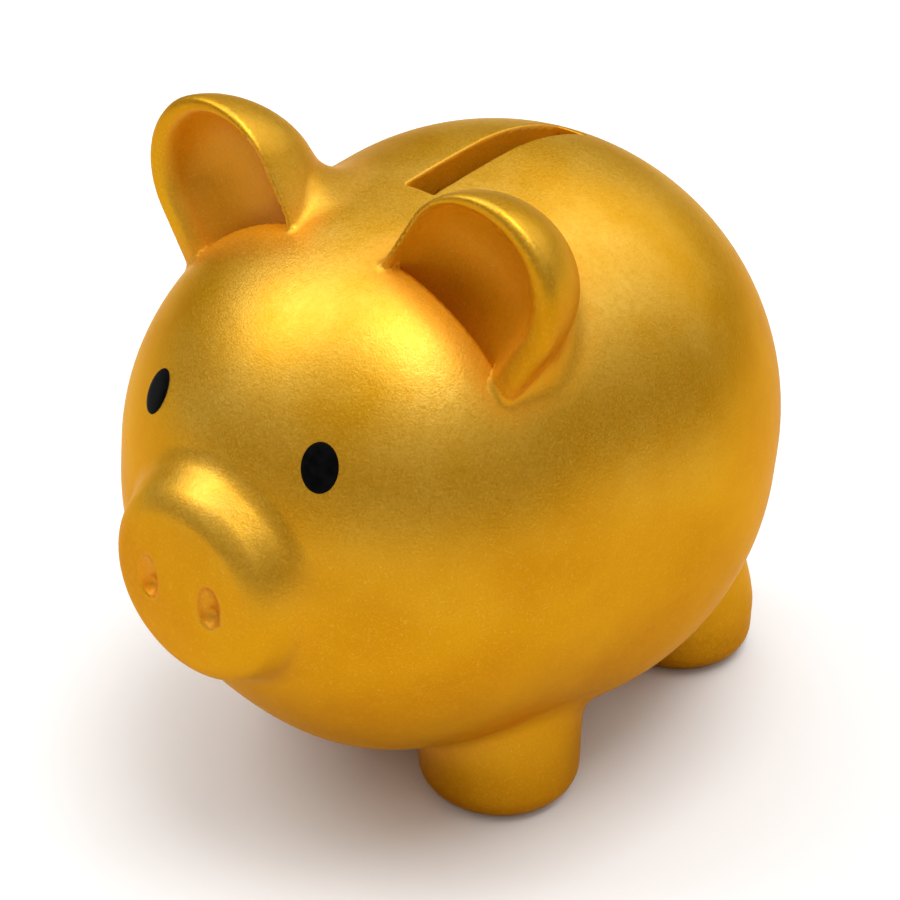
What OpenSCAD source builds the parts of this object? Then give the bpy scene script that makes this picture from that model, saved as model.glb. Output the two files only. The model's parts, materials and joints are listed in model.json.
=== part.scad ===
// Pig money box: a hollow egg-shaped earthenware body with a coin slot in its back.
// Snout, ears, legs and tail are luted to it with slip, the eyes are enamel, and a soft plug
// closes the belly hole. The pig faces -Y, its left is +X, and its feet stand on Z = 0.

/* [Body] */
// Radius of the rump
rump_r = 49.8; // [41:0.1:60]
// Radius of the head
head_r = 45.8; // [38:0.1:55]
// Distance between the middles of head and rump
body_span = 24.6; // [20:0.1:30]
// Height of the straight band that makes the body taller than wide
belly_drop = 4.8; // [2:0.1:10]
// Angle by which the head end is lifted
body_tilt = 6; // [0:0.5:12]
// Clearance between the belly and the ground
belly_clear = 4.5; // [3:0.1:10]
// Wall of the body
wall = 5.6; // [3:0.1:6]

/* [Coin slot] */
// Length of the coin slot
slot_l = 39; // [30:0.5:48]
// Width of the coin slot
slot_w = 5.8; // [4.5:0.1:8]
// Place of the middle of the slot along the body
slot_y = 11.8; // [0:0.1:20]

/* [Snout] */
// Radius of the snout's flat front
snout_face_r = 12.9; // [10:0.1:16]
// Radius of the snout where it meets the face
snout_root_r = 18.6; // [15:0.1:23]
// Rounding of the snout's front edge
snout_edge = 3.4; // [1.5:0.1:5]
// How far the front stands ahead of the body's nose
snout_reach = 5.5; // [4:0.1:12]
// How far the snout's middle stands below the middle of the body
snout_drop = 2.2; // [0:0.1:8]
// Distance between the nostrils
nostril_gap = 13.2; // [9:0.1:17]
// Radius of a nostril hollow
nostril_r = 2.4; // [1.5:0.1:3.5]

/* [Ears] */
// Radius of an ear at its root
ear_r = 14.7; // [11:0.1:18]
// Height of an ear above its root
ear_h = 26.6; // [20:0.1:34]
// Thickness of an ear
ear_t = 5.2; // [3:0.1:7]
// Angle from upright to an ear's root, seen from the front
ear_lean = 32; // [10:0.5:40]
// Place of an ear's root ahead of the middle of the head
ear_ahead = 15.2; // [8:0.1:20]
// Depth of an ear's root inside the skin of the body
ear_sink = 3; // [1:0.5:6]
// Angle by which an ear's opening turns to the outside
ear_turn = 6; // [0:1:20]

/* [Legs] */
// Radius of a foot
foot_r = 14.2; // [12:0.1:17]
// Radius of a leg where it enters the body
leg_r = 13.8; // [10:0.1:16]
// Rounding of the bottom edge of a foot
foot_edge = 5; // [3:0.1:7]
// Height of the widest part of a foot
foot_mid = 10; // [8:0.1:14]
// Distance of the front feet from the middle
front_x = 20; // [18:0.1:26]
// Place of the front feet behind the middle of the head
front_back = 4.2; // [0:0.1:8]
// Distance of the middle of a rear foot from the outside of the rump, seen from above
rear_inset = 10; // [8:0.1:16]
// Angle of the rear feet, measured at the middle of the rump from straight out to the side
rear_turn = 63; // [54:0.5:66]
// Angle by which a front leg leans forward
front_lean = 5; // [2:1:12]
// Angle by which a rear leg leans back
rear_lean = 20; // [12:1:26]
// Length of the shank from the middle of the foot up into the body
shank_h = 33; // [28:1:38]

/* [Tail] */
// Radius of the curl of the tail
curl_r = 6; // [4:0.1:8]
// Radius of the tail itself
tail_r = 2.4; // [1.8:0.1:3.5]
// How far the middle of the curl stands above the middle of the body
tail_rise = 2.4; // [-4:0.2:10]

/* [Eyes] */
// Width of an eye
eye_w = 5.6; // [4:0.1:8]
// Height of an eye
eye_h = 7.6; // [5:0.1:10]
// Angle by which the top of an eye leans to the outside
eye_roll = 7; // [0:1:15]
// Thickness of the enamel
eye_t = 0.4; // [0.3:0.05:0.8]
// Turn of an eye from straight ahead
eye_turn = 24.8; // [18:0.1:36]
// Lift of an eye above level, seen from the middle of the head
eye_lift = 25.4; // [18:0.1:40]

/* [Belly plug] */
// Radius of the hole in the belly
hole_r = 14; // [12:0.1:15]
// Angle by which the hole looks back from straight down
hole_lean = 7.5; // [4:0.5:10]
// Width of the flat seat round the hole
seat_w = 3.4; // [2.4:0.1:4]
// Depth of the seat at the edge of the hole
seat_depth = 1; // [0.6:0.1:1.6]
// Radial clearance between plug and hole
plug_gap = 0.3; // [0.2:0.05:0.5]
// Thickness of the plug's flange and skirt
plug_t = 1.8; // [1.2:0.1:2.4]
// Height of the plug's skirt above the seat
skirt_h = 9; // [6:0.5:12]
// Width of the grip bar under the plug
grip_w = 2.4; // [1.6:0.1:4]
// Height of the grip bar under the plug
grip_h = 1.3; // [0.8:0.1:2]

/* [Hidden] */
$fn = 128;
eps = 0.01;
cut_steps = 24;
far = 200;
gold = [0.83, 0.62, 0.16];
// The middle of the body above the ground, and the middles of head and rump along it.
body_z = belly_clear + rump_r + belly_drop * cos(body_tilt) + body_span / 2 * sin(body_tilt);
half_span = body_span / 2 * cos(body_tilt);
// The direction square to the straight flank that is tangent to head and rump.
flank_turn = asin((rump_r - head_r) / body_span);
flank = [cos(flank_turn), -sin(flank_turn)];
nose_y = -head_r - half_span;
snout_front = nose_y - snout_reach;
tail_y = rump_r + half_span + tail_r / 3;
tail_back = tail_y + tail_r;
// Where the middle of the body stands, so that the origin is midway from snout to tail.
body_y = -(snout_front + tail_back) / 2;
snout_z = body_z - snout_drop;
rear_reach = rump_r - rear_inset;
rear_x = rear_reach * cos(rear_turn);
rear_y = half_span + rear_reach * sin(rear_turn);
front_y = front_back - half_span;
seat_r = hole_r + seat_w;
seat_z = seat_depth - sqrt(rump_r * rump_r - hole_r * hole_r);
plug_r = hole_r - plug_gap;

// Half of the egg's outline, with both radii grown by grow.
module egg_profile(grow) {
    rump = [0, body_span / 2];
    head = [0, -body_span / 2];
    intersection() {
        union() {
            translate(rump) circle(rump_r + grow);
            translate(head) circle(head_r + grow);
            polygon([rump, rump + (rump_r + grow) * flank, head + (head_r + grow) * flank, head]);
        }
        translate([0, -far / 2]) square(far);
    }
}

// The lower half of the egg, round below and flat above.
module half_egg(grow) {
    rotate([-90, 0, 0]) rotate_extrude(angle = 180) egg_profile(grow);
}

// Moves what is given in the body's own frame to its place on the legs.
module on_body() {
    translate([0, body_y, body_z]) rotate([-body_tilt, 0, 0]) children();
}

// The whole egg as a solid: two halves with a straight band between them.
module egg(grow = 0) {
    on_body() {
        mirror([0, 0, 1]) half_egg(grow);
        translate([0, 0, -belly_drop]) {
            half_egg(grow);
            linear_extrude(belly_drop) {
                egg_profile(grow);
                mirror([1, 0]) egg_profile(grow);
            }
        }
    }
}

// The lower half of the egg in short straight steps, which the roots of ears and legs are cut with.
module root_cutter() {
    head_step = (90 - flank_turn) / cut_steps;
    rump_step = (90 + flank_turn) / cut_steps;
    rotate([-90, 0, 0]) rotate_extrude(angle = 180) polygon(concat(
        [for (i = [0:cut_steps]) let (a = -90 + i * head_step)
            [0, -body_span / 2] + head_r * [cos(a), sin(a)]],
        [for (i = [0:cut_steps]) let (a = -flank_turn + i * rump_step)
            [0, body_span / 2] + rump_r * [cos(a), sin(a)]]));
}

// Moves what is given round the hole's axis, with Z = 0 at the middle of the rump.
module on_hole() {
    on_body() translate([0, body_span / 2, -belly_drop])
        rotate([body_tilt + hole_lean, 0, 0]) children();
}

module body_shell() {
    color(gold) difference() {
        egg();
        egg(-wall);
        translate([-slot_w / 2, body_y + slot_y - slot_l / 2, body_z])
            cube([slot_w, slot_l, far / 2]);
        on_hole() translate([0, 0, -rump_r - seat_depth])
            cylinder(h = rump_r / 2, r = hole_r);
        on_hole() translate([0, 0, -rump_r - wall])
            cylinder(h = seat_z + rump_r + wall, r = seat_r);
    }
}

// A nostril is a hollow a little taller than it is wide.
module nostril(side) {
    translate([side * nostril_gap / 2, body_y + snout_front, snout_z])
        scale([0.8, 0.8, 1.3]) sphere(nostril_r);
}

module snout() {
    length = head_r / 2;
    color(gold) difference() {
        translate([0, body_y + snout_front, snout_z]) rotate([-90, 0, 0]) rotate_extrude()
            polygon(concat([[0, length], [0, 0]],
                [for (a = [0:15:75]) [snout_face_r + snout_edge * sin(a), snout_edge * (1 - cos(a))]],
                [[snout_root_r, length / 2], [snout_root_r, length]]));
        egg();
        for (side = [-1, 1]) nostril(side);
    }
}

// Half of a dome's outline, from its root inside the body up to its round top.
module dome_profile(r, top) {
    translate([0, -ear_r]) square([r, ear_r + top - r]);
    translate([0, top - r]) intersection() {
        circle(r);
        square(r);
    }
}

// An ear is the back half of a tall hollow dome, open to the front.
module ear(side) {
    root = sqrt(pow(head_r - ear_sink, 2) - pow(ear_ahead, 2));
    color(gold) mirror([side < 0 ? 1 : 0, 0, 0]) difference() {
        translate([root * sin(ear_lean), body_y - half_span - ear_ahead,
            body_z + body_span / 2 * sin(body_tilt) + root * cos(ear_lean)])
        rotate([0, ear_lean, 0]) rotate([0, 0, ear_turn]) difference() {
            rotate_extrude() dome_profile(ear_r, ear_h);
            rotate_extrude() dome_profile(ear_r - ear_t, ear_h - ear_t);
            translate([-far / 2, -far, -far / 2]) cube(far);
        }
        on_body() mirror([0, 0, 1]) root_cutter();
    }
}

module ear_left() { ear(1); }
module ear_right() { ear(-1); }

// Half of a foot's outline: flat below, with a rounded bottom edge and a domed top.
module foot_profile() {
    square([foot_r - foot_edge, foot_mid]);
    translate([foot_r - foot_edge, foot_edge]) circle(foot_edge);
    translate([0, foot_edge]) square([foot_r, foot_mid - foot_edge]);
    translate([0, foot_mid]) intersection() {
        circle(foot_r);
        square(foot_r);
    }
}

// A leg is a round foot with a shank that runs up into the body.
module leg(x, y, lean) {
    color(gold) difference() {
        translate([x, body_y + y, 0]) {
            rotate_extrude() foot_profile();
            translate([0, 0, foot_mid]) rotate([lean, 0, 0]) cylinder(h = shank_h, r = leg_r);
        }
        on_body() translate([0, 0, -belly_drop]) root_cutter();
    }
}

module leg_front_left() { leg(front_x, front_y, -front_lean); }
module leg_front_right() { leg(-front_x, front_y, -front_lean); }
module leg_rear_left() { leg(rear_x, rear_y, rear_lean); }
module leg_rear_right() { leg(-rear_x, rear_y, rear_lean); }

// The tail is one curl laid against the rump, with a round end.
module tail() {
    sweep = 300;
    color(gold) difference() {
        translate([0, body_y + tail_y, body_z + tail_rise]) rotate([90, 0, 0]) {
            rotate_extrude(angle = sweep) translate([curl_r, 0]) circle(tail_r);
            for (a = [0, sweep]) rotate([0, 0, a]) translate([curl_r, 0, 0]) sphere(tail_r * 1.02);
        }
        egg();
    }
}

// An eye is an oval of enamel that lies on the body's skin.
module eye(side) {
    color([0.03, 0.03, 0.03]) intersection() {
        difference() {
            egg(eye_t);
            egg();
        }
        on_body() translate([0, -body_span / 2, 0]) rotate([body_tilt, 0, 0])
            rotate([0, 0, side * eye_turn]) rotate([90 - eye_lift, 0, 0]) linear_extrude(far / 2)
            rotate(-side * eye_roll) polygon([for (a = [0:7.5:359]) [eye_w * cos(a), eye_h * sin(a)] / 2]);
    }
}

module eye_left() { eye(1); }
module eye_right() { eye(-1); }

// The plug has a flange against the seat, a skirt in the hole and a grip bar underneath.
module belly_plug() {
    flange_r = seat_r - plug_gap;
    color([0.9, 0.88, 0.82]) on_hole() translate([0, 0, seat_z - 0.1]) {
        rotate_extrude() polygon([[0, -plug_t], [flange_r, -plug_t], [flange_r, 0], [plug_r, 0],
            [plug_r, skirt_h], [plug_r - plug_t, skirt_h], [plug_r - plug_t, 0], [0, 0]]);
        translate([-hole_r, -grip_w / 2, -plug_t - grip_h]) cube([2 * hole_r, grip_w, grip_h + eps]);
    }
}

body_shell();
snout();
ear_left();
ear_right();
leg_front_left();
leg_front_right();
leg_rear_left();
leg_rear_right();
tail();
eye_left();
eye_right();
belly_plug();
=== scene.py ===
"""Looks of a pig money box: a slip-cast body sprayed satin gold, enamel eyes and a soft belly plug.

The casting is sculpted as one distance field in millimetres, since its snout, ears, legs and tail
are luted to the body and sprayed over, and is then meshed and drawn onto that field.
"""

import json
import logging
import math
from dataclasses import dataclass, field
from enum import Enum
from typing import Callable, Dict, List, Optional, Sequence, Tuple

import bmesh
import bpy
import numpy as np
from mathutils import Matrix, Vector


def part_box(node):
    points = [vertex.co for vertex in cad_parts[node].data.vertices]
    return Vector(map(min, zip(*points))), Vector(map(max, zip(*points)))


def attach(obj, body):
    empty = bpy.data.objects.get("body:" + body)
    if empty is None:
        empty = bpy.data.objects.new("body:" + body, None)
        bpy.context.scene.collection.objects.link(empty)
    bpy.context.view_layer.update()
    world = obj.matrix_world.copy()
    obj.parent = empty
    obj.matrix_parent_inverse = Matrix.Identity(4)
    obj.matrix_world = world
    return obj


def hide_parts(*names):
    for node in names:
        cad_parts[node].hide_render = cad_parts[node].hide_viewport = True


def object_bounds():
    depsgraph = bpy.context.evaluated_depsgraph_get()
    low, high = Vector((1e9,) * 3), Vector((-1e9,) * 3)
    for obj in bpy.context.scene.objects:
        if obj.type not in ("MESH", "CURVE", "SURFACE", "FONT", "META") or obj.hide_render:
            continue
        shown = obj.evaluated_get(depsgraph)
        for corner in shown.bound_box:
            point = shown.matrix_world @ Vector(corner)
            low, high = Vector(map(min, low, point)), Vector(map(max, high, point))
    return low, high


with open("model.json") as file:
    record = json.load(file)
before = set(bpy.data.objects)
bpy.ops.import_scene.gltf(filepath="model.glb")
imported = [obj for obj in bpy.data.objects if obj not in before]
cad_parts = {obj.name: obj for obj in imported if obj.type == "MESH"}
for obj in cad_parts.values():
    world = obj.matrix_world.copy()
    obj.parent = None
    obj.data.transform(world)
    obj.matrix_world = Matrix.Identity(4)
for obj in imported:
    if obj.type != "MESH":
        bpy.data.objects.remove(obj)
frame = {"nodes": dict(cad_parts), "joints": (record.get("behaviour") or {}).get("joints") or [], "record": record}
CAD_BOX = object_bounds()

import openvdb
from mathutils import Matrix, Vector

MM = 0.001
# How far from the skin the sampled field keeps its value, in mm.
FIELD_BAND = 3.0
# How fast the spacing of sample planes may shrink and grow from one to the next.
SLOWEST, FASTEST = 0.9, 1.12
# Where a mix node keeps its two colours and its mixed colour; its names are shared with numbers.
MIX_COLOURS, MIX_RESULT = (6, 7), 2
Points = np.ndarray
Values = np.ndarray
Field = Callable[[Points], Values]
Node = bpy.types.ShaderNode
log = logging.getLogger("pig")


# ---------------------------------------------------------------------------------------------
# Ways to join and cut distance fields. A field is negative inside.
# ---------------------------------------------------------------------------------------------


def fillet(a: Values, b: Values, radius: float) -> Values:
    """Joins two fields with a round fillet.

    Args:
        a: First field.
        b: Second field.
        radius: Radius of the fillet in mm.

    Returns:
        The field of both shapes with the crease between them filled.
    """
    gap_a = np.maximum(radius - a, 0)
    gap_b = np.maximum(radius - b, 0)
    return np.maximum(radius, np.minimum(a, b)) - np.hypot(gap_a, gap_b)


def meet(a: Values, b: Values, radius: float) -> Values:
    """Keeps what two fields share, with a rounded edge.

    Args:
        a: First field.
        b: Second field.
        radius: Rounding of the edge in mm.

    Returns:
        The field of the shape that lies in both.
    """
    over_a = np.maximum(radius + a, 0)
    over_b = np.maximum(radius + b, 0)
    return np.minimum(-radius, np.maximum(a, b)) + np.hypot(over_a, over_b)


def carve(a: Values, tool: Values, radius: float) -> Values:
    """Cuts one field with another and rounds the edge of the cut."""
    return meet(a, -tool, radius)


def box_field(p: Points, low: Sequence[float], high: Sequence[float]) -> Values:
    """The field of a box between two corners."""
    middle = (np.array(low) + np.array(high)) / 2
    half = (np.array(high) - np.array(low)) / 2
    q = np.abs(p - middle) - half
    outside = np.linalg.norm(np.maximum(q, 0), axis=-1)
    return outside + np.minimum(q.max(axis=-1), 0)


def oval_field(p: Points, centre: Sequence[float], radii: Sequence[float]) -> Values:
    """The field of an ellipsoid, right on its skin and close to it elsewhere."""
    q = (p - np.array(centre)) / np.array(radii)
    return (np.linalg.norm(q, axis=-1) - 1) * min(radii)


def blend_step(x: Values) -> Values:
    """Rises smoothly from 0 to 1 as x does."""
    x = np.clip(x, 0, 1)
    return x * x * (3 - 2 * x)


def slope(shape: Field, p: Points, step: float = 0.02) -> Points:
    """The direction in which a field grows at some points.

    Args:
        shape: The field.
        p: Points in mm.
        step: Half the distance between the two samples along each axis.

    Returns:
        The gradient at each point.
    """
    result = np.empty_like(p)
    for axis in range(3):
        offset = np.zeros(3)
        offset[axis] = step
        result[:, axis] = (shape(p + offset) - shape(p - offset)) / (2 * step)
    return result


def settle(shape: Field, p: Points, passes: int = 4, reach: float = 0.5) -> Points:
    """Draws points onto the skin of a field.

    Args:
        shape: The field.
        p: Points near its skin, in mm.
        passes: How many Newton steps each point takes.
        reach: The longest step in mm.

    Returns:
        The points on the skin.
    """
    for _ in range(passes):
        grad = slope(shape, p)
        size = np.maximum((grad**2).sum(axis=1), 1e-4)
        step = shape(p)[:, None] * grad / size[:, None]
        length = np.linalg.norm(step, axis=1, keepdims=True)
        p = p - step * np.minimum(1, reach / np.maximum(length, 1e-9))
    return p


@dataclass(frozen=True)
class Zone:
    """A stretch of one axis that is meshed with its own spacing."""

    low: float
    high: float
    pitch: float


def ruler(low: float, high: float, pitch: float, zones: Sequence[Zone] = ()) -> np.ndarray:
    """Spaces sample planes along one axis, closer together in some zones.

    Args:
        low: First plane in mm.
        high: The last plane comes just past this.
        pitch: Spacing outside the zones.
        zones: Stretches with a spacing of their own.

    Returns:
        The places of the planes.
    """
    places = [low]
    while places[-1] < high:
        here = places[-1]
        step = min([pitch] + [z.pitch for z in zones if z.low <= here <= z.high])
        if len(places) > 1:
            last = places[-1] - places[-2]
            step = min(max(step, last * SLOWEST), last * FASTEST)
        places.append(here + step)
    return np.array(places)


def mirrored_ruler(reach: float, pitch: float, zones: Sequence[Zone] = ()) -> np.ndarray:
    """A ruler that runs the same way to both sides of the middle."""
    half = ruler(0.0, reach, pitch, zones)
    start = half[1] / 2
    half = half[:-1] + start
    return np.concatenate([-half[::-1], half])


def mesh_field(name: str, shape: Field, axes: Sequence[np.ndarray]) -> bpy.types.Object:
    """Meshes a field on uneven sample planes and draws the mesh onto its skin.

    Args:
        name: Name of the new object.
        shape: The field in mm.
        axes: The places of the planes along X, Y and Z.

    Returns:
        A smooth-shaded object in metres, with the field's own normals.
    """
    xs, ys, zs = axes
    values = np.empty((len(xs), len(ys), len(zs)), np.float32)
    grid_y, grid_z = np.meshgrid(ys, zs, indexing="ij")
    for i, x in enumerate(xs):
        slab = np.stack([np.full(grid_y.size, x), grid_y.ravel(), grid_z.ravel()], axis=-1)
        values[i] = shape(slab).reshape(grid_y.shape)
    np.clip(values, -FIELD_BAND, FIELD_BAND, out=values)
    grid = openvdb.FloatGrid(FIELD_BAND)
    grid.copyFromArray(values)
    points, quads = grid.convertToQuads(0.0)
    p = np.stack([
        np.interp(points[:, k], np.arange(len(planes)), planes) for k, planes in enumerate(axes)
    ], axis=-1)
    p = settle(shape, p)
    normals = slope(shape, p)
    normals /= np.maximum(np.linalg.norm(normals, axis=1, keepdims=True), 1e-9)
    corners = p[quads]
    across = np.cross(corners[:, 2] - corners[:, 0], corners[:, 3] - corners[:, 1])
    if (across * normals[quads[:, 0]]).sum() < 0:
        quads = quads[:, ::-1]
    mesh = bpy.data.meshes.new(name)
    mesh.from_pydata((p * MM).tolist(), [], quads.tolist())
    mesh.validate()
    mesh.shade_smooth()
    mesh.normals_split_custom_set_from_vertices(normals.tolist())
    obj = bpy.data.objects.new(name, mesh)
    bpy.context.scene.collection.objects.link(obj)
    return obj


def node_box(node: str) -> Tuple[np.ndarray, np.ndarray]:
    """The lowest and highest corner of a CAD node, in mm."""
    low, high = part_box(node)
    return np.array(low) / MM, np.array(high) / MM


# ---------------------------------------------------------------------------------------------
# The casting
# ---------------------------------------------------------------------------------------------


@dataclass(frozen=True)
class Touch:
    """A soft swelling or hollow that the modeller left in the body's skin."""

    place: Tuple[float, float, float]
    width: float
    height: float


@dataclass
class Egg:
    """The body: two round ends, a straight flank and a band that makes it taller."""

    head_r: float = 45.8
    span: float = 24.6
    drop: float = 4.8
    tilt: float = math.radians(6)
    wall: float = 5.6
    touches: Tuple[Touch, ...] = (
        Touch((0, -22, 46), 15, -0.8),
        Touch((0, -48, -36), 16, -1.0),
        Touch((0, -22, -52), 22, 1.3),
        Touch((36, -32, 0), 20, 0.4),
    )
    rump_r: float = field(init=False)
    centre: np.ndarray = field(init=False)

    def __post_init__(self) -> None:
        """Takes the rump's radius and the body's middle from the frame."""
        low, high = node_box("body_shell")
        self.rump_r = (high[0] - low[0]) / 2
        half_span = self.span / 2 * math.cos(self.tilt)
        rise = self.span / 2 * math.sin(self.tilt)
        self.centre = np.array([
            0, high[1] - self.rump_r - half_span, high[2] - self.rump_r + rise
        ])

    def local(self, p: Points) -> Points:
        """Turns points into the body's own frame, with its long axis along Y."""
        q = p - self.centre
        c, s = math.cos(self.tilt), math.sin(self.tilt)
        return np.stack([q[:, 0], q[:, 1] * c - q[:, 2] * s, q[:, 1] * s + q[:, 2] * c], axis=-1)

    def plain(self, p: Points) -> Values:
        """The field of the egg as it was thrown, before the modeller's touches."""
        q = self.local(p)
        z = np.where(q[:, 2] > 0, q[:, 2], np.minimum(q[:, 2] + self.drop, 0))
        ring = np.hypot(q[:, 0], z)
        turn = math.asin((self.rump_r - self.head_r) / self.span)
        along = ring * math.sin(turn) + q[:, 1] * math.cos(turn)
        end = self.span / 2 * math.cos(turn)
        rump = np.hypot(ring, q[:, 1] - self.span / 2) - self.rump_r
        head = np.hypot(ring, q[:, 1] + self.span / 2) - self.head_r
        flank = ring * math.cos(turn) - (q[:, 1] - self.span / 2) * math.sin(turn) - self.rump_r
        return np.where(along > end, rump, np.where(along < -end, head, flank))

    def skin(self, p: Points) -> Values:
        """The field of the body's outer skin with the modeller's touches."""
        value = self.plain(p)
        q = self.local(p)
        q[:, 0] = np.abs(q[:, 0])
        for touch in self.touches:
            away = ((q - np.array(touch.place)) ** 2).sum(axis=1)
            value = value - touch.height * np.exp(-away / touch.width**2)
        return value


@dataclass
class Snout:
    """A short tapered snout with a crowned front and two nostril hollows.

    Each nostril is an oval hollow, given by its half width, depth and half height, with a smaller
    and deeper pit in its lower half, given as shares of those.
    """

    face_r: float = 14.1
    root_r: float = 19.2
    breadth: float = 0.05
    droop: float = 0.8
    length: float = 9.0
    crown: float = 60.0
    edge: float = 1.9
    root: float = 1.1
    ahead: float = 0.5
    nostril_gap: float = 13.2
    nostril: Tuple[float, float, float] = (2.15, 1.25, 3.5)
    nostril_edge: float = 0.5
    pit: Tuple[float, float, float] = (0.75, 1.5, 0.45)
    pit_edge: float = 0.6
    front: float = field(init=False)
    height: float = field(init=False)

    def __post_init__(self) -> None:
        """Takes the snout's front and height from the frame."""
        low, high = node_box("snout")
        self.front = low[1] - self.ahead
        self.height = (low[2] + high[2]) / 2

    def join(self, p: Points, body: Values) -> Values:
        """Lutes the snout to the body.

        Args:
            p: Points in mm.
            body: The body's field there.

        Returns:
            The field with the snout and its nostrils.
        """
        back = p[:, 1] - self.front
        share = 1 - np.clip(back / self.length, 0, 1)
        rise = p[:, 2] - self.height + self.droop * share
        ring = np.hypot(p[:, 0] * (1 - self.breadth * share), rise)
        taper = math.atan((self.root_r - self.face_r) / self.length)
        side = (ring - self.face_r - back * math.tan(taper)) * math.cos(taper)
        cap = np.hypot(ring, back - self.crown) - self.crown
        solid = np.maximum(meet(side, cap, self.edge), back - 2.2 * self.length)
        value = fillet(body, solid, self.root)
        q = p.copy()
        q[:, 0] = np.abs(q[:, 0])
        place = (self.nostril_gap / 2, self.front + self.ahead, self.height)
        value = carve(value, oval_field(q, place, self.nostril), self.nostril_edge)
        deep = (place[0], place[1], place[2] - self.nostril[2] * 0.5)
        radii = tuple(size * share for size, share in zip(self.nostril, self.pit))
        return carve(value, oval_field(q, deep, radii), self.pit_edge)


@dataclass
class Ear:
    """A thick ear: a dome with a flat front, scooped out into a cup that bites into the head."""

    radius: float = 14.7
    top: float = 26.6
    depth: float = 18.5
    lean: float = math.radians(32)
    ahead: float = 15.2
    sink: float = 3.0
    cup_radius: float = 11.5
    cup_top: float = 23.2
    cup_depth: float = 8.0
    cup_shift: float = 2.1
    floor: float = 4.0
    scoop: float = 10.0
    lip: float = 2.4
    wall: float = 3.2

    def root(self, egg: Egg) -> np.ndarray:
        """The middle of the ear's root, on the head."""
        reach = math.sqrt((egg.head_r - self.sink) ** 2 - self.ahead**2)
        forward = egg.span / 2 * math.cos(egg.tilt) + self.ahead
        lift = egg.span / 2 * math.sin(egg.tilt) + reach * math.cos(self.lean)
        return egg.centre + np.array([reach * math.sin(self.lean), -forward, lift])

    def local(self, p: Points, egg: Egg) -> Tuple[Values, Values, Values]:
        """Turns points on the ear's own side into its distances across, backward and up."""
        q = p - self.root(egg)
        c, s = math.cos(self.lean), math.sin(self.lean)
        return q[:, 0] * c - q[:, 2] * s, q[:, 1], q[:, 0] * s + q[:, 2] * c

    def join(self, p: Points, body: Values, egg: Egg) -> Values:
        """Lutes the ear to the head and scoops it out.

        Args:
            p: Points in mm with X not negative.
            body: The body's field there.
            egg: The body it stands on.

        Returns:
            The field with the ear.
        """
        across, back, up = self.local(p, egg)
        near = (np.abs(across) < 24) & (np.abs(back) < 28) & (up > -12) & (up < 34)
        if not near.any():
            return body
        across, back, up = across[near], back[near], up[near]
        slant = 1.2 - 0.4 * np.clip(up / self.top, -0.2, 1)
        dome = self.dome(across, back / slant, up, (self.radius, self.depth, self.top))
        crest = 0.9 + 1.0 * blend_step((across + 12) / 18)
        dome = np.maximum(meet(dome, -back, crest), -up - self.radius)
        root = 1.0 + 3.5 * blend_step((back - 1) / 9)
        cup = self.cup(across, back, up)
        softness = 0.8 + 1.6 * blend_step((across + 10) / 18)
        ear = carve(fillet(body[near], dome, root), np.maximum(cup, -back - 0.7), softness)
        head = carve(body[near], np.maximum(cup, self.lip - back), 1.0)
        result = body.copy()
        result[near] = np.minimum(ear, head)
        return result

    def cup(self, across: Values, back: Values, up: Values) -> Values:
        """The field of the hollow in the ear, before its front limit."""
        sides = (self.cup_radius, self.cup_depth, self.cup_top)
        return self.dome(across + self.cup_shift, back, up, sides, self.floor, self.scoop)

    def spare(self, p: Points, chamber: Values, egg: Egg) -> Values:
        """Keeps the chamber clear of the hollow, so that clay is left between the two."""
        across, back, up = self.local(p, egg)
        return np.maximum(chamber, self.wall - np.maximum(self.cup(across, back, up), -back - 1))

    @staticmethod
    def dome(across: Values, back: Values, up: Values, sides: Tuple[float, float, float],
             floor: float = 0.0, scoop: float = 0.0) -> Values:
        """The field of an upright dome, with a shallow bowl for its lower end if it has a scoop.

        Args:
            across: Distances to the side.
            back: Distances backward.
            up: Distances upward.
            sides: The dome's half width, depth and top.
            floor: Where the bowl starts.
            scoop: How far the bowl reaches below that.

        Returns:
            The dome's field.
        """
        radius, depth, top = sides
        over = np.maximum(up - (top - radius), 0)
        if scoop:
            over = over + np.maximum(floor - up, 0) * radius / scoop
        return np.sqrt(across**2 + (back * radius / depth) ** 2 + over**2) - radius


@dataclass
class Leg:
    """A stubby leg: a round foot with a soft bottom edge and a shank into the belly."""

    node: str
    lean: float
    taper: float
    radius: float = 14.2
    edge: float = 5.0
    mid: float = 10.0
    shank_top: float = 38.0
    centre: Tuple[float, float] = field(init=False)

    def __post_init__(self) -> None:
        """Takes the foot's place from the mount of the same name."""
        name = self.node.replace("leg", "foot")
        mount = next(m for m in frame["record"]["mounts"] if m["name"] == name)
        self.centre = (mount["pos_m"][0] / MM, mount["pos_m"][1] / MM)

    def solid(self, p: Points) -> Values:
        """The field of the leg, given points on its own side of the pig."""
        above = np.maximum(p[:, 2] - self.mid, 0)
        shift = above**2 / (above + 6) * math.tan(self.lean)
        ring = np.hypot(p[:, 0] - self.centre[0], p[:, 1] - self.centre[1] + shift)
        ring = ring + above * self.taper
        out = ring - (self.radius - self.edge)
        down = self.edge - p[:, 2]
        value = np.hypot(np.maximum(out, 0), np.maximum(down, 0))
        value = value + np.minimum(np.maximum(out, down), 0) - self.edge
        return np.maximum(value, p[:, 2] - self.shank_top)


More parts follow.
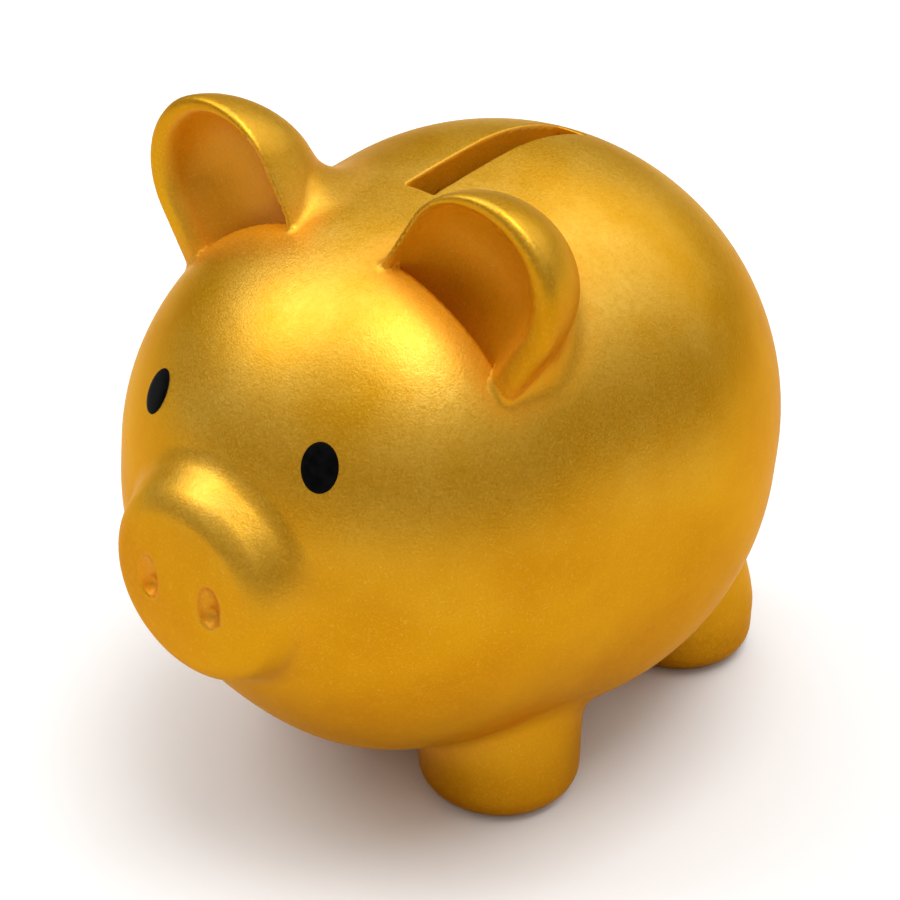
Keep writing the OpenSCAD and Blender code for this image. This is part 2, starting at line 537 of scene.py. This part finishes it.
@dataclass
class Tail:
    """A little pigtail: a tapering curl that lies on the rump."""

    curl: float = 6.0
    thick: float = 2.1
    thin: float = 1.1
    start: float = math.radians(-60)
    sweep: float = math.radians(330)
    pieces: int = 44
    root: float = 0.9
    centre: np.ndarray = field(init=False)

    def __post_init__(self) -> None:
        """Takes the curl's middle from the frame."""
        low, high = node_box("tail")
        self.centre = np.array([0, high[1] - self.thick, (low[2] + high[2]) / 2])

    def place(self, t: float) -> np.ndarray:
        """A point on the curl's middle line, where t runs from 0 at the root to 1."""
        angle = self.start + self.sweep * t
        reach = self.curl * (1.15 - 0.62 * t)
        out = -2.6 * (1 - t) ** 3 + 0.5 * t
        return self.centre + np.array([reach * math.cos(angle), out, reach * math.sin(angle)])

    def join(self, p: Points, body: Values) -> Values:
        """Lutes the tail to the rump, working only on the points near it."""
        near = np.abs(p - self.centre).max(axis=1) < self.curl + 3 * self.thick
        if not near.any():
            return body
        q = p[near]
        solid = np.full(len(q), np.inf)
        for i in range(self.pieces):
            t0, t1 = i / self.pieces, (i + 1) / self.pieces
            a, b = self.place(t0), self.place(t1)
            h = np.clip((q - a) @ (b - a) / ((b - a) @ (b - a)), 0, 1)
            size = self.thick + (self.thin - self.thick) * (t0 + (t1 - t0) * h)
            solid = np.minimum(solid, np.linalg.norm(q - a - h[:, None] * (b - a), axis=1) - size)
        value = body.copy()
        value[near] = fillet(body[near], solid, self.root)
        return value


@dataclass
class Hole:
    """The belly hole with its flat seat, on an axis that looks a little backward."""

    radius: float = 14.0
    seat: float = 3.4
    depth: float = 1.0
    edge: float = 0.35
    seat_edge: float = 0.3
    inside: float = 20.0

    def frame_of(self, egg: Egg) -> Tuple[np.ndarray, np.ndarray]:
        """The middle of the rump's lower ball, and the axis that points out of the hole."""
        axis = np.array(frame["joints"][0]["axis"])
        c, s = math.cos(egg.tilt), math.sin(egg.tilt)
        half, low = egg.span / 2, -egg.drop
        middle = egg.centre + np.array([0, half * c + low * s, -half * s + low * c])
        return middle, axis

    def seat_at(self, egg: Egg) -> float:
        """How far out along the hole's axis the flat seat lies."""
        return math.sqrt(egg.rump_r**2 - self.radius**2) - self.depth

    def cut(self, p: Points, value: Values, egg: Egg) -> Values:
        """Cuts the hole and its seat into the casting."""
        middle, axis = self.frame_of(egg)
        along = (p - middle) @ axis
        ring = np.linalg.norm(p - middle - along[:, None] * axis, axis=1)
        value = carve(value, np.maximum(ring - self.radius, self.inside - along), self.edge)
        seat = np.maximum(ring - self.radius - self.seat, self.seat_at(egg) - along)
        return carve(value, seat, self.seat_edge)


@dataclass
class Casting:
    """The whole fired piece: body, snout, ears, legs and tail under one coat of gold."""

    slot_width: float = 5.8
    slot_length: float = 39.0
    slot_place: float = 11.8
    slot_edge: float = 0.5
    leg_root: float = 2.0
    pitch: float = 0.85
    fine: float = 0.42
    egg: Egg = field(default_factory=Egg)
    snout: Snout = field(default_factory=Snout)
    ear: Ear = field(default_factory=Ear)
    tail: Tail = field(default_factory=Tail)
    hole: Hole = field(default_factory=Hole)
    legs: Tuple[Leg, ...] = field(init=False)

    def __post_init__(self) -> None:
        """Sets up the two legs that stand for the four."""
        self.legs = (
            Leg("leg_front_left", math.radians(-5), 0.0),
            Leg("leg_rear_left", math.radians(20), 0.08),
        )

    def slot(self) -> Tuple[np.ndarray, np.ndarray]:
        """Two corners of the coin slot's cut."""
        middle = self.egg.centre[1] + self.slot_place
        low = [-self.slot_width / 2, middle - self.slot_length / 2, self.egg.centre[2]]
        high = [self.slot_width / 2, middle + self.slot_length / 2, self.egg.centre[2] + 90]
        return np.array(low), np.array(high)

    def field(self, p: Points) -> Values:
        """The field of the whole casting."""
        side = p.copy()
        side[:, 0] = np.abs(side[:, 0])
        value = self.egg.skin(p)
        value = self.snout.join(p, value)
        value = self.ear.join(side, value, self.egg)
        for leg in self.legs:
            value = fillet(value, leg.solid(side), self.leg_root)
        value = self.tail.join(p, value)
        chamber = self.ear.spare(side, self.egg.plain(p) + self.egg.wall, self.egg)
        value = np.maximum(value, -chamber)
        value = carve(value, box_field(p, *self.slot()), self.slot_edge)
        return self.hole.cut(p, value, self.egg)

    def build(self) -> bpy.types.Object:
        """Meshes the casting, with closer planes at the slot, the nostrils and the seat."""
        low, high = np.array(CAD_BOX[0]) / MM - 3, np.array(CAD_BOX[1]) / MM + 3
        slot_low, slot_high = self.slot()
        pitch, fine = self.pitch, self.fine
        crest = node_box("body_shell")[1][2]
        xs = mirrored_ruler(high[0], pitch, [Zone(0, self.slot_width / 2 + 1.2, fine)])
        ys = ruler(low[1], high[1], pitch, [
            Zone(self.snout.front - 1, self.snout.front + 4, 0.55),
            Zone(slot_low[1] - 1.2, slot_low[1] + 1.2, fine),
            Zone(slot_high[1] - 1.2, slot_high[1] + 1.2, fine),
        ])
        zs = ruler(low[2], high[2], pitch, [
            Zone(low[2], low[2] + 11, 0.6),
            Zone(crest - 4.5, crest + 0.5, fine),
        ])
        obj = mesh_field("gold_casting", self.field, (xs, ys, zs))
        self.note_crease_shade(obj)
        return obj

    def note_crease_shade(self, obj: bpy.types.Object) -> None:
        """Stores how open each point is, 1 in the open and 0 deep in a crease, as the mask for the gold's painted
        crease shade.
        """
        p = np.empty(len(obj.data.vertices) * 3, np.float32)
        obj.data.vertices.foreach_get("co", p)
        p = p.reshape(-1, 3).astype(float) / MM
        normal = slope(self.field, p)
        normal /= np.maximum(np.linalg.norm(normal, axis=1, keepdims=True), 1e-9)
        crease_shade_mask = np.ones(len(p))
        for reach, weight in ((5.0, 0.9), (11.0, 0.85)):
            seen = np.clip(self.field(p + normal * reach) / reach, 0, 1)
            crease_shade_mask = crease_shade_mask * (1 - weight * (1 - seen))
        layer = obj.data.attributes.new("crease_shade_mask", "FLOAT", "POINT")
        layer.data.foreach_set("value", crease_shade_mask.astype(np.float32))


# ---------------------------------------------------------------------------------------------
# Eyes and plug
# ---------------------------------------------------------------------------------------------


@dataclass
class Eye:
    """An oval of enamel with a soft edge that lies on the head."""

    side: int
    egg: Egg
    width: float = 5.9
    height: float = 7.8
    turn: float = math.radians(24.8)
    lift: float = math.radians(25.4)
    roll: float = math.radians(3)
    bulge: float = 0.42
    bed: float = 0.3
    rim: float = 0.02
    rings: int = 14
    spokes: int = 72

    def build(self, skin: Field) -> bpy.types.Object:
        """Makes the oval as a closed lens whose underside sits in the skin.

        Args:
            skin: The body's field.

        Returns:
            The eye, standing proud of the skin by its bulge.
        """
        egg = self.egg
        c, s = math.cos(egg.tilt), math.sin(egg.tilt)
        middle = egg.centre + np.array([0, -egg.span / 2 * c, egg.span / 2 * s])
        cl, sl = math.cos(self.lift), math.sin(self.lift)
        out = np.array([self.side * math.sin(self.turn) * cl, -math.cos(self.turn) * cl, sl])
        right = np.cross(np.array([0, 0, 1.0]), -out)
        right /= np.linalg.norm(right)
        up = np.cross(-out, right)
        up /= np.linalg.norm(up)
        cr, sr = math.cos(self.roll), math.sin(self.roll) * self.side
        across, tall = right * cr - up * sr, up * cr + right * sr
        start = middle + out * egg.head_r
        reach = [math.sin(math.pi / 2 * ring / self.rings) for ring in range(self.rings + 1)]
        points: List[np.ndarray] = []
        for share in reach:
            for spoke in range(self.spokes):
                angle = 2 * math.pi * spoke / self.spokes
                wide = across * (self.width / 2 * math.cos(angle))
                high = tall * (self.height / 2 * math.sin(angle))
                points.append(start + (wide + high) * share)
        p = settle(skin, np.array(points * 2), passes=5, reach=3)
        normals = slope(skin, p)
        normals /= np.linalg.norm(normals, axis=1, keepdims=True)
        count = len(points)
        crown = np.sqrt(np.maximum(1 - np.repeat(reach, self.spokes) ** 4, 0))
        p[:count] += normals[:count] * (self.bulge * crown + self.rim)[:, None]
        p[count:] -= normals[count:] * (self.bed * crown - self.rim)[:, None]
        return self.close(p, count)

    def close(self, p: Points, count: int) -> bpy.types.Object:
        """Joins the lens's two sheets at their shared rim and caps their middles."""
        faces: List[Tuple[int, ...]] = []
        n = self.spokes
        for layer in range(2):
            base = layer * count
            for ring in range(1, self.rings):
                for k in range(n):
                    a, b = base + ring * n + k, base + ring * n + (k + 1) % n
                    quad = (a, b, b + n, a + n)
                    faces.append(quad if layer == 0 else quad[::-1])
            cap = tuple(base + n + k for k in range(n))
            faces.append(cap[::-1] if layer == 0 else cap)
        mesh = bpy.data.meshes.new("eye")
        mesh.from_pydata((p * MM).tolist(), [], faces)
        work = bmesh.new()
        work.from_mesh(mesh)
        bmesh.ops.remove_doubles(work, verts=work.verts, dist=2e-6)
        loose = [v for v in work.verts if not v.link_faces]
        bmesh.ops.delete(work, geom=loose, context="VERTS")
        bmesh.ops.recalc_face_normals(work, faces=work.faces)
        work.to_mesh(mesh)
        work.free()
        mesh.shade_smooth()
        name = "enamel_eye_left" if self.side > 0 else "enamel_eye_right"
        obj = bpy.data.objects.new(name, mesh)
        bpy.context.scene.collection.objects.link(obj)
        return obj


@dataclass
class Plug:
    """The soft moulded plug: a flange with a raised rim, a hollow skirt and a grip bar."""

    hole: Hole
    egg: Egg
    gap: float = 0.3
    sheet: float = 1.8
    skirt: float = 9.0
    grip_width: float = 2.4
    grip_height: float = 1.3
    grip_round: float = 0.6
    grip_inset: float = 1.2
    bead: float = 0.65
    bead_out: float = 0.2
    bead_below: float = 2.2
    dish_depth: float = 0.35
    rim_width: float = 1.6
    pip: Tuple[float, float, float] = (1.1, 1.1, 0.35)
    pip_place: float = 4.6
    play: float = 0.1
    pitch: float = 0.4
    pitch_up: float = 0.32

    def field(self, p: Points) -> Values:
        """The plug's field in its own frame, with Z up into the pig and 0 on the seat."""
        ring = np.hypot(p[:, 0], p[:, 1])
        flange_r = self.hole.radius + self.hole.seat - self.gap
        skirt_r = self.hole.radius - self.gap
        z = p[:, 2]
        flange = meet(meet(ring - flange_r, z, 0.25), -z - self.sheet, 0.5)
        bead_up = (z - self.skirt + self.bead_below) * 0.7
        bead = np.hypot(ring - skirt_r + self.bead - self.bead_out, bead_up) - self.bead
        wall = meet(ring - skirt_r, z - self.skirt, 0.5)
        wall = meet(wall, -z - self.sheet / 2, 0.2)
        wall = carve(wall, ring - skirt_r + self.sheet - np.maximum(z, 0) * 0.03, 0.4)
        wall = fillet(wall, bead, 0.4)
        value = fillet(flange, wall, 0.15)
        dish = np.maximum(ring - flange_r + self.rim_width, z + self.sheet - self.dish_depth)
        value = carve(value, dish, 0.25)
        half = self.hole.radius - self.grip_inset
        thick = self.grip_width / 2 - self.grip_round
        base = -self.sheet - self.grip_height + self.grip_round
        bar = box_field(p, (-half, -thick, base), (half, thick, -self.sheet / 2)) - self.grip_round
        value = fillet(value, bar, 0.5)
        pip = oval_field(p, (0, self.pip_place, -self.sheet + 0.3), self.pip)
        return fillet(value, pip, 0.2)

    def build(self) -> bpy.types.Object:
        """Meshes the plug and seats it in the belly hole."""
        middle, axis = self.hole.frame_of(self.egg)
        reach = self.hole.radius + self.hole.seat + 1.5
        side = mirrored_ruler(reach, self.pitch)
        height = ruler(-self.sheet - self.grip_height - 1, self.skirt + 1.5, self.pitch_up)
        obj = mesh_field("rubber_plug", self.field, (side, side, height))
        up = Vector(-axis)
        turn = Vector((0, 0, 1)).rotation_difference(up).to_matrix().to_4x4()
        seat = Vector((middle + axis * (self.hole.seat_at(self.egg) + self.play)) * MM)
        obj.data.transform(turn)
        obj.data.transform(Matrix.Translation(seat))
        return obj


# ---------------------------------------------------------------------------------------------
# Finishes
# ---------------------------------------------------------------------------------------------


class Finish(Enum):
    """The three finishes on the pig, by the record's material slot."""

    GOLD = "gold_glaze"
    ENAMEL = "eye_enamel"
    RUBBER = "plug_rubber"


@dataclass
class Palette:
    """Builds node materials."""

    tree: bpy.types.NodeTree
    shader: Node

    @classmethod
    def start(cls, name: str) -> "Palette":
        """Makes a material with one principled shader.

        Args:
            name: Name of the material.

        Returns:
            The palette that adds nodes to it.
        """
        material = bpy.data.materials.new(name)
        material.use_nodes = True
        tree = material.node_tree
        return cls(tree, next(n for n in tree.nodes if n.type == "BSDF_PRINCIPLED"))

    def noise(self, scale: float, detail: float, rough: float = 0.5) -> Node:
        """A noise texture in the piece's own frame, with its scale in features per metre."""
        place = self.tree.nodes.new("ShaderNodeTexCoord")
        texture = self.tree.nodes.new("ShaderNodeTexNoise")
        texture.inputs["Scale"].default_value = scale
        texture.inputs["Detail"].default_value = detail
        texture.inputs["Roughness"].default_value = rough
        self.tree.links.new(place.outputs["Object"], texture.inputs["Vector"])
        return texture

    def ramp(self, source: Node, stops: Sequence[Tuple[float, Sequence[float]]]) -> Node:
        """Maps a texture's value through colour stops."""
        node = self.tree.nodes.new("ShaderNodeValToRGB")
        band = node.color_ramp
        while len(band.elements) < len(stops):
            band.elements.new(0.5)
        for element, (position, colour) in zip(band.elements, stops):
            element.position = position
            element.color = (*colour, 1)
        self.tree.links.new(source.outputs[0], node.inputs["Fac"])
        return node

    def span(self, source: Node, low: float, high: float) -> Node:
        """Maps the middle of a texture's values to a range of numbers."""
        node = self.tree.nodes.new("ShaderNodeMapRange")
        limits = {"From Min": 0.3, "From Max": 0.7, "To Min": low, "To Max": high}
        for name, value in limits.items():
            node.inputs[name].default_value = value
        self.tree.links.new(source.outputs[0], node.inputs["Value"])
        return node

    def blend(self, first: Node, second: Node, factor: Node) -> Node:
        """Mixes two colours by a third node's value."""
        node = self.tree.nodes.new("ShaderNodeMix")
        node.data_type = "RGBA"
        self.tree.links.new(factor.outputs[0], node.inputs[0])
        for source, socket in zip((first, second), MIX_COLOURS):
            output = MIX_RESULT if source.bl_idname == "ShaderNodeMix" else 0
            self.tree.links.new(source.outputs[output], node.inputs[socket])
        return node

    def bump(self, source: Node, strength: float, distance: float,
             under: Optional[Node] = None) -> Node:
        """Raises the surface by a texture, over another bump if one is given."""
        node = self.tree.nodes.new("ShaderNodeBump")
        node.inputs["Strength"].default_value = strength
        node.inputs["Distance"].default_value = distance
        self.tree.links.new(source.outputs[0], node.inputs["Height"])
        if under is not None:
            self.tree.links.new(under.outputs["Normal"], node.inputs["Normal"])
        return node

    def stored(self, name: str) -> Node:
        """Reads a value that the mesh stores at each of its points."""
        node = self.tree.nodes.new("ShaderNodeAttribute")
        node.attribute_name = name
        value = self.tree.nodes.new("ShaderNodeMapRange")
        self.tree.links.new(node.outputs["Fac"], value.inputs["Value"])
        return value

    def upness(self, start: float, end: float) -> Node:
        """Rises from 0 to 1 as the surface turns to face upward."""
        place = self.tree.nodes.new("ShaderNodeTexCoord")
        split = self.tree.nodes.new("ShaderNodeSeparateXYZ")
        value = self.tree.nodes.new("ShaderNodeMapRange")
        value.interpolation_type = "SMOOTHSTEP"
        value.inputs["From Min"].default_value = start
        value.inputs["From Max"].default_value = end
        self.tree.links.new(place.outputs["Normal"], split.inputs["Vector"])
        self.tree.links.new(split.outputs["Z"], value.inputs["Value"])
        return value

    def height(self, start: float, end: float) -> Node:
        """Rises from 0 to 1 between two heights above the feet, in metres."""
        place = self.tree.nodes.new("ShaderNodeTexCoord")
        split = self.tree.nodes.new("ShaderNodeSeparateXYZ")
        value = self.tree.nodes.new("ShaderNodeMapRange")
        value.inputs["From Min"].default_value = start
        value.inputs["From Max"].default_value = end
        self.tree.links.new(place.outputs["Object"], split.inputs["Vector"])
        self.tree.links.new(split.outputs["Z"], value.inputs["Value"])
        return value

    def feed(self, socket: str, node: Node, output: int = 0) -> None:
        """Links a node to one of the shader's sockets."""
        self.tree.links.new(node.outputs[output], self.shader.inputs[socket])

    def set(self, **values: float) -> None:
        """Sets sockets to fixed values; an underscore in a name stands for a space."""
        for name, value in values.items():
            self.shader.inputs[name.replace("_", " ")].default_value = value

    @property
    def material(self) -> bpy.types.Material:
        """The material being built."""
        return next(m for m in bpy.data.materials if m.node_tree == self.tree)


@dataclass(frozen=True)
class GoldSpray:
    """Satin metallic gold in a fine uneven grain, with painted light and shade: a warm orange painted shade in
    creases, a paler painted highlight on upward faces and darker painted shade on downward faces and towards the
    feet.
    """

    # Dark brown-orange: painted shade towards the feet.
    worn_and_shaded: Tuple[float, float, float] = (0.33, 0.13, 0.001)
    # Warm orange painted shade for creases, standing in for shade and light bounced between gold surfaces.
    crease_shade_tone: Tuple[float, float, float] = (0.96, 0.33, 0.002)
    # Darker gold: painted shade on downward faces, in creases and towards the feet, and the dark end of the random
    # grain.
    deep: Tuple[float, float, float] = (0.50, 0.195, 0.001)
    body: Tuple[float, float, float] = (0.63, 0.30, 0.004)
    # Pale gold: painted highlight on upward faces, and the light end of the random grain.
    pale: Tuple[float, float, float] = (0.82, 0.52, 0.09)
    metal: float = 0.88
    metal_in_creases: float = 0.1
    edge_tint: Tuple[float, float, float] = (1.0, 0.72, 0.3)
    grain: float = 2600.0

    def material(self) -> bpy.types.Material:
        """Builds the gold's node material."""
        palette = Palette.start("satin_gold_spray")
        cloud = palette.noise(38.0, 3.0, 0.55)
        flake = palette.noise(self.grain, 2.0, 0.6)
        # Painted light and shade by facing: downward faces darken towards the deep colour as painted shade, upward
        # faces turn pale as a painted highlight.
        side = palette.ramp(cloud, ((0.3, self.deep), (0.7, self.body)))
        crown = palette.ramp(cloud, ((0.3, self.body), (0.7, self.pale)))
        tone = palette.blend(side, crown, palette.upness(-0.1, 0.9))
        # Painted shade in creases: where the crease shade mask is low the colour turns warm orange.
        crease_shade_tone = palette.ramp(cloud, ((0.3, self.crease_shade_tone), (0.8, self.deep)))
        tone = palette.blend(crease_shade_tone, tone, palette.stored("crease_shade_mask"))
        # Painted shade towards the feet: the colour darkens below 17 mm above the floor and is darkest at 2 mm and
        # below.
        worn_and_shaded = palette.ramp(cloud, ((0.3, self.worn_and_shaded), (0.8, self.deep)))
        tone = palette.blend(worn_and_shaded, tone, palette.height(0.002, 0.017))
        speck = palette.ramp(flake, ((0.34, self.deep), (0.55, self.body), (0.75, self.pale)))
        weight = palette.span(palette.noise(900.0, 2.0), 0.05, 0.4)
        palette.feed("Base Color", palette.blend(tone, speck, weight), MIX_RESULT)
        palette.feed("Roughness", palette.span(flake, 0.33, 0.47))
        ripple = palette.bump(palette.noise(420.0, 3.0, 0.6), 0.12, 0.0003)
        palette.feed("Normal", palette.bump(flake, 0.35, 0.00012, ripple))
        # Painted shade in creases, continued: the metallic drops where the crease shade mask is low, so creases
        # read as diffuse warm orange.
        shade = palette.stored("crease_shade_mask")
        shade.inputs["To Min"].default_value = self.metal_in_creases
        shade.inputs["To Max"].default_value = self.metal
        palette.feed("Metallic", shade)
        palette.set(IOR=1.5, Specular_Tint=(*self.edge_tint, 1))
        return palette.material


@dataclass(frozen=True)
class BlackEnamel:
    """Black enamel, smooth with a faint brushed unevenness."""

    colour: Tuple[float, float, float] = (0.0012, 0.0012, 0.0012)

    def material(self) -> bpy.types.Material:
        """Builds the enamel's node material."""
        palette = Palette.start("black_enamel")
        haze = palette.noise(700.0, 2.0)
        lighter = tuple(3 * c for c in self.colour)
        palette.feed("Base Color", palette.ramp(haze, ((0.35, self.colour), (0.75, lighter))))
        palette.feed("Roughness", palette.span(haze, 0.5, 0.6))
        palette.feed("Normal", palette.bump(haze, 0.1, 0.0001))
        palette.set(IOR=1.3, Specular_IOR_Level=0.06)
        return palette.material


@dataclass(frozen=True)
class SoftRubber:
    """Cream moulded rubber with a matt skin and a little handling grime."""

    fresh: Tuple[float, float, float] = (0.74, 0.70, 0.60)
    worn_and_shaded: Tuple[float, float, float] = (0.58, 0.53, 0.43)

    def material(self) -> bpy.types.Material:
        """Builds the rubber's node material."""
        palette = Palette.start("soft_cream_rubber")
        grime = palette.noise(140.0, 4.0, 0.6)
        grain = palette.noise(3200.0, 2.0)
        palette.feed("Base Color", palette.ramp(grime, ((0.35, self.fresh), (0.72, self.worn_and_shaded))))
        palette.feed("Roughness", palette.span(grime, 0.5, 0.68))
        palette.feed("Normal", palette.bump(grain, 0.15, 0.0001))
        palette.set(Subsurface_Weight=0.12, Subsurface_Scale=0.002, IOR=1.45)
        return palette.material


# ---------------------------------------------------------------------------------------------
# Stage
# ---------------------------------------------------------------------------------------------


@dataclass
class Studio:
    """A pale floor, soft lights and the camera."""

    azimuth: float = 40.0
    elevation: float = 30.65
    roll: float = 1.06
    distance: float = 403.4
    focal: float = 93.76
    aim: Tuple[float, float, float] = (0.0, 0.0, 55.1)

    def camera(self) -> None:
        """Places the camera on its arc round the pig."""
        az, el, roll = (math.radians(v) for v in (self.azimuth, self.elevation, self.roll))
        back = Vector((math.sin(az) * math.cos(el), -math.cos(az) * math.cos(el), math.sin(el)))
        right = Vector((math.cos(az), math.sin(az), 0))
        up = back.cross(right)
        x = right * math.cos(roll) + up * math.sin(roll)
        y = up * math.cos(roll) - right * math.sin(roll)
        data = bpy.data.cameras.new("camera")
        data.lens = self.focal
        data.sensor_width = 36
        data.clip_start = 0.01
        obj = bpy.data.objects.new("camera", data)
        bpy.context.scene.collection.objects.link(obj)
        place = (Vector(self.aim) + back * self.distance) * MM
        obj.matrix_world = Matrix((
            (x.x, y.x, back.x, place.x),
            (x.y, y.y, back.y, place.y),
            (x.z, y.z, back.z, place.z),
            (0, 0, 0, 1),
        ))
        bpy.context.scene.camera = obj

    def floor(self) -> None:
        """Lays the pale floor that the feet stand on."""
        mesh = bpy.data.meshes.new("floor")
        size = 6.0
        corners = [(-size, -size, 0), (size, -size, 0), (size, size, 0), (-size, size, 0)]
        mesh.from_pydata(corners, [], [(0, 1, 2, 3)])
        obj = bpy.data.objects.new("floor", mesh)
        bpy.context.scene.collection.objects.link(obj)
        palette = Palette.start("pale_floor")
        haze = palette.noise(3.0, 2.0)
        shades = ((0.3, (0.89, 0.89, 0.89)), (0.7, (0.91, 0.91, 0.91)))
        palette.feed("Base Color", palette.ramp(haze, shades))
        palette.set(Roughness=0.9, Specular_IOR_Level=0.1)
        mesh.materials.append(palette.material)

    def light(self, name: str, azimuth: float, elevation: float, distance: float,
              size: float, power: float) -> None:
        """Hangs a square softbox that faces the pig.

        Args:
            name: Name of the light.
            azimuth: Angle round the pig in degrees, 0 in front of it, turning to its left.
            elevation: Angle above the horizon in degrees.
            distance: Distance from the pig in metres.
            size: Side of the softbox in metres.
            power: Power in watts.
        """
        az, el = math.radians(azimuth), math.radians(elevation)
        out = Vector((math.sin(az) * math.cos(el), -math.cos(az) * math.cos(el), math.sin(el)))
        data = bpy.data.lights.new(name, "AREA")
        data.size = size
        data.energy = power
        obj = bpy.data.objects.new(name, data)
        bpy.context.scene.collection.objects.link(obj)
        obj.location = Vector(self.aim) * MM + out * distance
        obj.rotation_euler = out.to_track_quat("Z", "Y").to_euler()

    def world(self) -> None:
        """Surrounds the stage with an even pale studio."""
        world = bpy.data.worlds.new("studio")
        world.use_nodes = True
        bpy.context.scene.world = world
        tree = world.node_tree
        shade = tree.nodes["Background"]
        place = tree.nodes.new("ShaderNodeTexCoord")
        split = tree.nodes.new("ShaderNodeSeparateXYZ")
        ramp = tree.nodes.new("ShaderNodeValToRGB")
        stops = ((0.0, 0.28), (0.25, 0.38), (0.6, 0.68), (1.0, 0.85))
        while len(ramp.color_ramp.elements) < len(stops):
            ramp.color_ramp.elements.new(0.5)
        for element, (position, level) in zip(ramp.color_ramp.elements, stops):
            element.position = position
            element.color = (level, level, level, 1)
        tree.links.new(place.outputs["Generated"], split.inputs["Vector"])
        tree.links.new(split.outputs["Z"], ramp.inputs["Fac"])
        tree.links.new(ramp.outputs["Color"], shade.inputs["Color"])
        shade.inputs["Strength"].default_value = 0.9

    def build(self) -> None:
        """Sets up floor, lights, world and camera."""
        self.floor()
        self.light("overhead_softbox", 78, 76, 1.3, 0.75, 7.6)
        self.light("ceiling_softbox", -150, 78, 1.4, 1.4, 4.6)
        self.light("left_softbox", -58, 52, 1.4, 0.75, 5.4)
        self.light("rear_softbox", 165, 35, 1.5, 1.1, 3)
        self.world()
        self.camera()
        bpy.context.scene.view_settings.view_transform = "Standard"


def dress(obj: bpy.types.Object, material: bpy.types.Material) -> None:
    """Gives a new piece its material."""
    obj.data.materials.clear()
    obj.data.materials.append(material)


def main() -> None:
    """Builds the pig piece by piece and reports each."""
    logging.basicConfig(level=logging.INFO, format="%(message)s")
    finishes: Dict[Finish, bpy.types.Material] = {
        Finish.GOLD: GoldSpray().material(),
        Finish.ENAMEL: BlackEnamel().material(),
        Finish.RUBBER: SoftRubber().material(),
    }
    Studio().build()
    casting = Casting()
    gold = casting.build()
    dress(gold, finishes[Finish.GOLD])
    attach(gold, "pig")
    nodes = [n for n in frame["nodes"] if n not in ("eye_left", "eye_right", "belly_plug")]
    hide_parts(*nodes)
    log.info("gold casting: %d faces", len(gold.data.polygons))
    for side, node in ((1, "eye_left"), (-1, "eye_right")):
        eye = Eye(side, casting.egg).build(casting.egg.skin)
        dress(eye, finishes[Finish.ENAMEL])
        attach(eye, "pig")
        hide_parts(node)
        log.info("%s: %d faces", eye.name, len(eye.data.polygons))
    plug = Plug(casting.hole, casting.egg).build()
    dress(plug, finishes[Finish.RUBBER])
    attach(plug, "plug")
    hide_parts("belly_plug")
    log.info("rubber plug: %d faces", len(plug.data.polygons))


if __name__ == "__main__":
    main()
